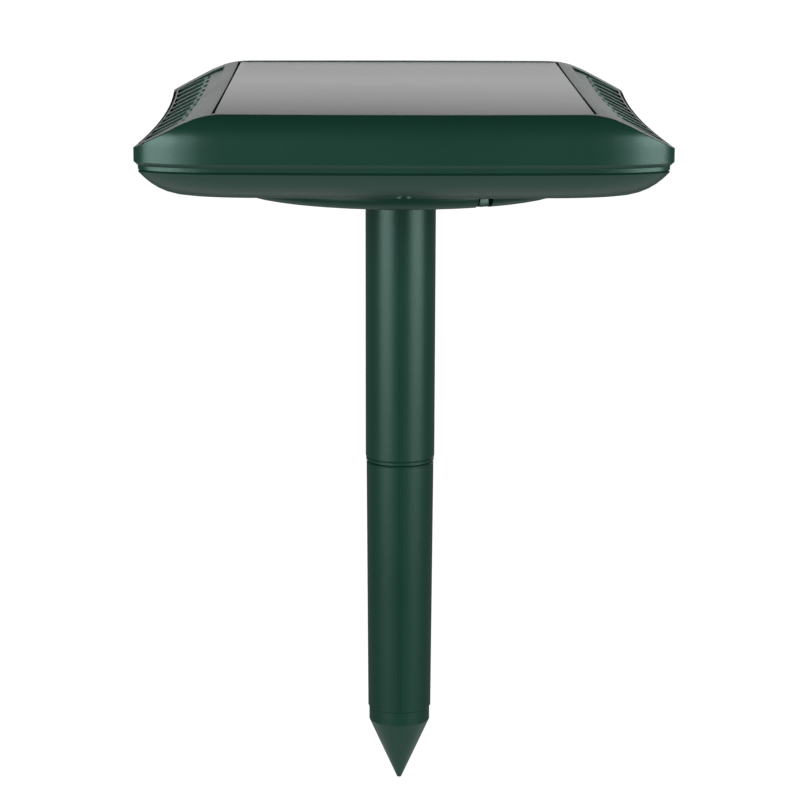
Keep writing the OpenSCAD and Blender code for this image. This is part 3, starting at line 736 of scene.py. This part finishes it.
# Power switch: a small green plastic tab that slides sideways in a slot in the boss's rounded
# edge. Its foot reaches inside to the switch.
knob_half = 1.65 * mm
knob = block((-knob_half, -boss_radius + 0.4 * mm, boss_z + 0.5 * mm),
             (knob_half, -boss_radius + 3.7 * mm, boss_z + 3.1 * mm))
applied(knob, "BEVEL", width=0.35 * mm, segments=3, limit_method="ANGLE")
knob_foot = block((-knob_half, -boss_radius + 3.6 * mm, boss_z + 2.4 * mm),
                  (knob_half, -boss_radius + 8.6 * mm, boss_z + 3 * mm))
knob = merge([knob, knob_foot])
knob.rotation_euler.z = switch_turn
dress(knob, "switch_tab", green_plastic, "power_switch", "green_shell", "switch_knob")


# Stake: two tubes and a solid point, pressed together end to end. A fine raised line from the
# mould runs down the front and back of each tube, and the upper one ends in a bead and a groove.
tube_top_r = 10.9 * mm
upper_end_r = 10.75 * mm
lower_top_r = 10.5 * mm
lower_end_r = 9.9 * mm
joint_z = 104.3 * mm
tip_z = 24.4 * mm
spigot_length = 18 * mm
bore_r = 8.55 * mm
tube_sides = 96
mould_line = 0.14 * mm
mould_height = 0.24 * mm


def turned(name, profile, body, node, line_from=0, line_to=0, closed=False):
    """A round piece turned through (radius, height) steps: a loop, or closed at both ends."""
    bpy.ops.mesh.primitive_circle_add(vertices=tube_sides, radius=profile[0][0],
                                      location=(0, 0, profile[0][1]), rotation=(0, 0, math.pi / tube_sides))
    piece = bpy.context.object
    bpy.ops.object.transform_apply(location=True, rotation=True, scale=True)
    in_edit(piece)
    bpy.ops.mesh.select_all(action="SELECT")
    turn(profile[1:], profile[0])
    if closed:
        bpy.ops.mesh.edge_face_add()
        pick(piece, "VERT", lambda co, v: abs(co.z - profile[0][1]) < 1e-6)
        bpy.ops.mesh.edge_face_add()
    else:
        bpy.ops.mesh.select_all(action="SELECT")
        bpy.ops.mesh.remove_doubles(threshold=1e-6)
    bpy.ops.mesh.select_all(action="SELECT")
    bpy.ops.mesh.normals_make_consistent(inside=False)
    if line_to > line_from:
        bpy.ops.mesh.select_mode(type="FACE")
        for side in (-1, 1):
            pick(piece, "FACE", lambda middle, normal: abs(middle.x) < mm / 10
                 and middle.y * side > bore_r + mm and line_from < middle.z < line_to
                 and normal.y * side > 0.5)
            bpy.ops.mesh.inset(thickness=mould_line, use_boundary=True)
            bpy.ops.transform.translate(value=(0, side * mould_height, 0))
    out_of_edit()
    dress(piece, name, green_plastic, body, "green_shell", node, smooth=20)


head_socket_end = rim_z + socket_top - 0.3 * mm
bead = 1.6 * mm
spigot_z = joint_z - spigot_length
spigot_r = bore_r - 0.08 * mm
inner_r = bore_r - 1.6 * mm
groove_r = lower_top_r - 0.15 * mm
bead_r = lower_top_r + 0.1 * mm
upper_profile = [(inner_r, spigot_z), (bore_r - 0.5 * mm, spigot_z), (spigot_r, spigot_z + 0.4 * mm),
                 (spigot_r, joint_z + 0.3 * mm), (groove_r, joint_z + 0.3 * mm),
                 (bead_r, joint_z + 0.5 * mm), (bead_r, joint_z + bead - 0.4 * mm),
                 (groove_r, joint_z + bead - 0.15 * mm), (upper_end_r, joint_z + bead + 0.2 * mm),
                 (upper_end_r + 0.02 * mm, joint_z + 8 * mm),
                 (tube_top_r - 0.02 * mm, head_socket_end - 1 * mm),
                 (tube_top_r - 0.5 * mm, head_socket_end), (inner_r, head_socket_end), (inner_r, spigot_z)]
turned("upper_stake_tube", upper_profile, "stake_top", "upper_tube",
       joint_z + bead, head_socket_end - 2 * mm)
lower_profile = [(bore_r, tip_z), (lower_end_r - 0.2 * mm, tip_z), (lower_end_r, tip_z + 0.2 * mm),
                 (lower_top_r - 0.02 * mm, joint_z - 0.5 * mm), (lower_top_r - 0.3 * mm, joint_z),
                 (bore_r + 0.4 * mm, joint_z), (bore_r, joint_z - 0.4 * mm), (bore_r, tip_z)]
turned("lower_stake_tube", lower_profile, "stake_base", "lower_tube",
       tip_z + 0.5 * mm, joint_z - 1 * mm)
collar_r = 9.56 * mm
cone_z = 19.8 * mm
plug_r = bore_r - 0.02 * mm
point_profile = [(0.35 * mm, 0), (0.65 * mm, 0.12 * mm), (0.85 * mm, 0.5 * mm),
                 (collar_r - 0.15 * mm, cone_z - 0.2 * mm), (collar_r, cone_z + 0.15 * mm),
                 (collar_r, tip_z - 0.3 * mm), (collar_r - 0.2 * mm, tip_z - 0.05 * mm),
                 (plug_r, tip_z), (plug_r, tip_z + 11.5 * mm), (bore_r - 0.5 * mm, tip_z + 12 * mm)]
turned("stake_point", point_profile, "stake_base", "stake_tip", closed=True)

# Gasket, door seal and emitter boots: soft dull black rubber. The gasket is pinched between
# the two shells just inside the lip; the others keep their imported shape.
gasket_in = 0.7 * mm
gasket_wide = 0.8 * mm
gasket_play = 0.02 * mm
black_rubber = moulded("black_rubber", (0.003, 0.003, 0.003), (0.008, 0.008, 0.008), 0.85, grain=1800,
                       Specular_IOR_Level=0.15)


def coat(material, *names):
    """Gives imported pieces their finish; they keep their own shape."""
    for name in names:
        nodes[name].data.materials.clear()
        nodes[name].data.materials.append(material)


coat(black_rubber, "door_seal", "emitter_boots")
gasket = rim_ring(lip_in + gasket_in, seam_z + gasket_play)
bpy.ops.mesh.extrude_region_move(TRANSFORM_OT_translate={"value": (0, 0, lip_z - seam_z - 2 * gasket_play)})
bpy.ops.mesh.select_all(action="SELECT")
bpy.ops.mesh.normals_make_consistent(inside=False)
out_of_edit()
applied(gasket, "SOLIDIFY", thickness=gasket_wide, offset=-1)
dress(gasket, "gasket", black_rubber, "head", "black_rubber", "housing_gasket")

# Solar panel's cover: a smoked plastic sheet with a chamfered edge, flush in its pocket. Faint
# lines in it show where the strips of silicon under it meet.
sheet_edge = 0.5 * mm
sheet_crown = 0.12 * mm
strip_start = 79 * mm
strip_half_pitch = 13.36 * mm
strip_line = 0.4 * mm
cover_low, cover_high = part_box("panel_cover")
bpy.ops.mesh.primitive_cube_add(size=1, location=(cover_low + cover_high) / 2)
panel = bpy.context.object
panel.scale = cover_high - cover_low
bpy.ops.object.transform_apply(location=True, rotation=False, scale=True)
in_edit(panel, "FACE")
pick(panel, "FACE", lambda middle, normal: normal.z > 0.9)
bpy.ops.mesh.inset(thickness=sheet_edge)
bpy.ops.transform.translate(value=(0, 0, sheet_crown))
out_of_edit()
smoked, shader, start, place = finish("smoked_cover", (0.028, 0.029, 0.032), 0.24, Coat_Weight=0.1,
                                      Specular_IOR_Level=0.42, Coat_Roughness=0.16, IOR=1.5)
haze = start.node("TexNoise", inputs={"Vector": place, "Scale": 9, "Detail": 4}, output="Fac")
dust = start.node("TexNoise", inputs={"Vector": place, "Scale": 1500, "Detail": 2}, output="Fac")
split = start.node("SeparateXYZ", inputs={"Vector": place}, output=1)
strips = start.node("Math", {"operation": "PINGPONG"}, {0: split + strip_start, 1: strip_half_pitch})
line = start.node("Math", {"operation": "LESS_THAN"}, {0: strips, 1: strip_line})
glaze = start.node("Mix", {"data_type": "RGBA"},
                   {0: line * 0.35 + haze * 0.3, "A": (0.022, 0.023, 0.026, 1), "B": (0.05, 0.052, 0.055, 1)},
                   output=2)
feed(glaze, shader, "Base Color")
feed(haze * 0.06 + dust * 0.05 + 0.19, shader, "Roughness")
feed(start.node("Bump", inputs={"Height": dust, "Distance": 0.000006, "Strength": 0.4}), shader, "Normal")
dress(panel, "panel_sheet", smoked, "head", "panel_cover", "panel_cover")

# Solar cells: strips of dark silicon with fine silver fingers, on a white board that is held
# down in the pocket by a frame of foam tape.
finger_start = 60 * mm
finger_half_pitch = 1.1 * mm
finger_width = 0.12 * mm
silicon, shader, start, place = finish("silicon", (0.012, 0.014, 0.035), 0.22, Coat_Weight=0.4)
split_x = start.node("SeparateXYZ", inputs={"Vector": place}, output=0)
finger = start.node("Math", {"operation": "PINGPONG"}, {0: split_x + finger_start, 1: finger_half_pitch})
is_finger = start.node("Math", {"operation": "LESS_THAN"}, {0: finger, 1: finger_width})
crystal = start.node("TexNoise", inputs={"Vector": place, "Scale": 260, "Detail": 3}, output="Fac")
cell_tone = start.node("Mix", {"data_type": "RGBA"},
                       {0: crystal, "A": (0.008, 0.010, 0.028, 1), "B": (0.022, 0.026, 0.055, 1)}, output=2)
cell_tone = start.node("Mix", {"data_type": "RGBA"},
                       {0: is_finger, "A": cell_tone, "B": (0.4, 0.4, 0.42, 1)}, output=2)
feed(cell_tone, shader, "Base Color")
feed(crystal * 0.12 + 0.16, shader, "Roughness")
feed(start.node("Bump", inputs={"Height": is_finger, "Distance": 0.00002, "Strength": 0.5}), shader, "Normal")
coat(silicon, "solar_cells")
coat(moulded("board_white", (0.62, 0.63, 0.60), (0.72, 0.72, 0.70), 0.5, grain=1400), "panel_board")
coat(moulded("foam_tape", (0.012, 0.012, 0.012), (0.03, 0.03, 0.03), 0.85, grain=3800, depth=0.00012),
     "panel_tape")

# Screws, springs and contact plates: plated steel, the screws turned and the contacts pressed
# from strip. Both are a little dull from handling.


def metal(name, colour, dark, roughness, grain=900, stretch=(1, 1, 1)):
    """Bare metal: drawn or rolled grain, with duller patches where it has been handled."""
    material, shader, start, place = finish(name, colour, roughness, Metallic=1.0)
    long_place = start.node("VectorMath", {"operation": "MULTIPLY"}, {0: place, 1: stretch})
    lines = start.node("TexNoise", inputs={"Vector": long_place, "Scale": grain, "Detail": 4}, output="Fac")
    patch = start.node("TexNoise", inputs={"Vector": place, "Scale": 90, "Detail": 5}, output="Fac")
    worn = start.node("ValToRGB", {"stops": [(0.48, (0, 0, 0)), (0.7, (1, 1, 1))]}, {"Fac": patch})
    tone = start.node("Mix", {"data_type": "RGBA"},
                      {0: worn * 0.6 + lines * 0.3, "A": (*colour, 1), "B": (*dark, 1)}, output=2)
    feed(tone, shader, "Base Color")
    feed(lines * 0.14 + worn * 0.16 + (roughness - 0.1), shader, "Roughness")
    feed(start.node("Bump", inputs={"Height": lines, "Distance": 0.00002, "Strength": 0.5}), shader, "Normal")
    return material


steel = metal("screw_steel", (0.52, 0.52, 0.53), (0.25, 0.25, 0.25), 0.34)
coat(steel, "housing_screws", "door_screws", "board_screws")
coat(metal("contact_metal", (0.62, 0.60, 0.54), (0.34, 0.32, 0.28), 0.26, grain=600, stretch=(1, 1, 6)),
     "battery_springs", "battery_contacts")

# Rechargeable cells: steel cans in a shrunk green plastic wrap, with a darker band at one end.
# They lie side by side across the battery space.
band_from = 12 * mm
wrap, shader, start, place = finish("cell_wrap", (0.05, 0.20, 0.08), 0.32, Coat_Weight=0.3)
along = start.node("SeparateXYZ", inputs={"Vector": place}, output=0)
band = start.node("Math", {"operation": "GREATER_THAN"}, {0: along, 1: band_from})
creases = start.node("TexNoise", inputs={"Vector": place, "Scale": 320, "Detail": 4}, output="Fac")
wrap_tone = start.node("Mix", {"data_type": "RGBA"},
                       {0: band * 0.85 + creases * 0.15, "A": (0.04, 0.17, 0.07, 1),
                        "B": (0.02, 0.03, 0.025, 1)}, output=2)
feed(wrap_tone, shader, "Base Color")
feed(creases * 0.16 + 0.24, shader, "Roughness")
feed(start.node("Bump", inputs={"Height": creases, "Distance": 0.00004, "Strength": 0.4}), shader, "Normal")
coat(wrap, "battery_cells")

# Main board: woven glass fibre under a green lacquer, with the weave showing through as a
# paler grid. Four screws hold it on posts over the lower shell.
lacquer, shader, start, place = finish("board_green", (0.01, 0.11, 0.04), 0.35, Coat_Weight=0.4)
weave = start.node("TexBrick", {"offset": 0.5},
                   {"Vector": place, "Scale": 160, "Mortar Size": 0.06, "Color1": (1, 1, 1, 1),
                    "Color2": (0.8, 0.8, 0.8, 1), "Mortar": (0, 0, 0, 1)})
mottle = start.node("TexNoise", inputs={"Vector": place, "Scale": 400, "Detail": 3}, output="Fac")
board_tone = start.node("Mix", {"data_type": "RGBA"},
                        {0: weave * 0.7 + mottle * 0.3, "A": (0.03, 0.17, 0.07, 1),
                         "B": (0.008, 0.09, 0.035, 1)}, output=2)
feed(board_tone, shader, "Base Color")
feed(mottle * 0.14 + 0.28, shader, "Roughness")
relief = weave * 0.6 + mottle * 0.4
feed(start.node("Bump", inputs={"Height": relief, "Distance": 0.00003, "Strength": 0.4}), shader, "Normal")
coat(lacquer, "main_board")

# Small parts: chips, capacitors and the slide switch in black plastic, coils wound with bare
# copper wire, and pale nylon connectors. All are soldered to the board or its leads.
black_plastic = moulded("black_plastic", (0.010, 0.010, 0.011), (0.022, 0.022, 0.024), 0.45, grain=2400)
coat(black_plastic, "control_chips", "switch_body", "capacitors")
coat(metal("copper_wire", (0.60, 0.25, 0.10), (0.30, 0.12, 0.05), 0.3, grain=1200, stretch=(1, 1, 12)),
     "drive_coils")
coat(moulded("natural_nylon", (0.55, 0.53, 0.46), (0.66, 0.64, 0.57), 0.42, grain=900), "wire_connectors")

# Leads: thin wire in soft plastic insulation, red for the panel and battery, black for the
# emitters and switch. They run inside the head.
coat(moulded("red_lead", (0.35, 0.012, 0.010), (0.45, 0.03, 0.02), 0.4, grain=800), "panel_wires",
     "battery_wires")
coat(moulded("black_lead", (0.012, 0.012, 0.012), (0.03, 0.03, 0.03), 0.42, grain=800), "emitter_wires",
     "switch_wires")

# Sound emitters: spun aluminium cans with stiff card cones, behind the grilles. The lamp is a
# small red plastic lens that shows through a hole in the lower shell.
coat(metal("emitter_metal", (0.55, 0.56, 0.57), (0.32, 0.32, 0.33), 0.36, grain=1500, stretch=(1, 1, 5)),
     "emitter_cans")
coat(moulded("cone_card", (0.40, 0.35, 0.24), (0.50, 0.45, 0.32), 0.75, grain=1600, depth=0.0001),
     "emitter_cones")
lamp = moulded("lamp_red", (0.42, 0.03, 0.02), (0.52, 0.06, 0.05), 0.22, grain=500, depth=0.00002,
               Transmission_Weight=0.35, Coat_Weight=0.5)
coat(lamp, "indicator_led")
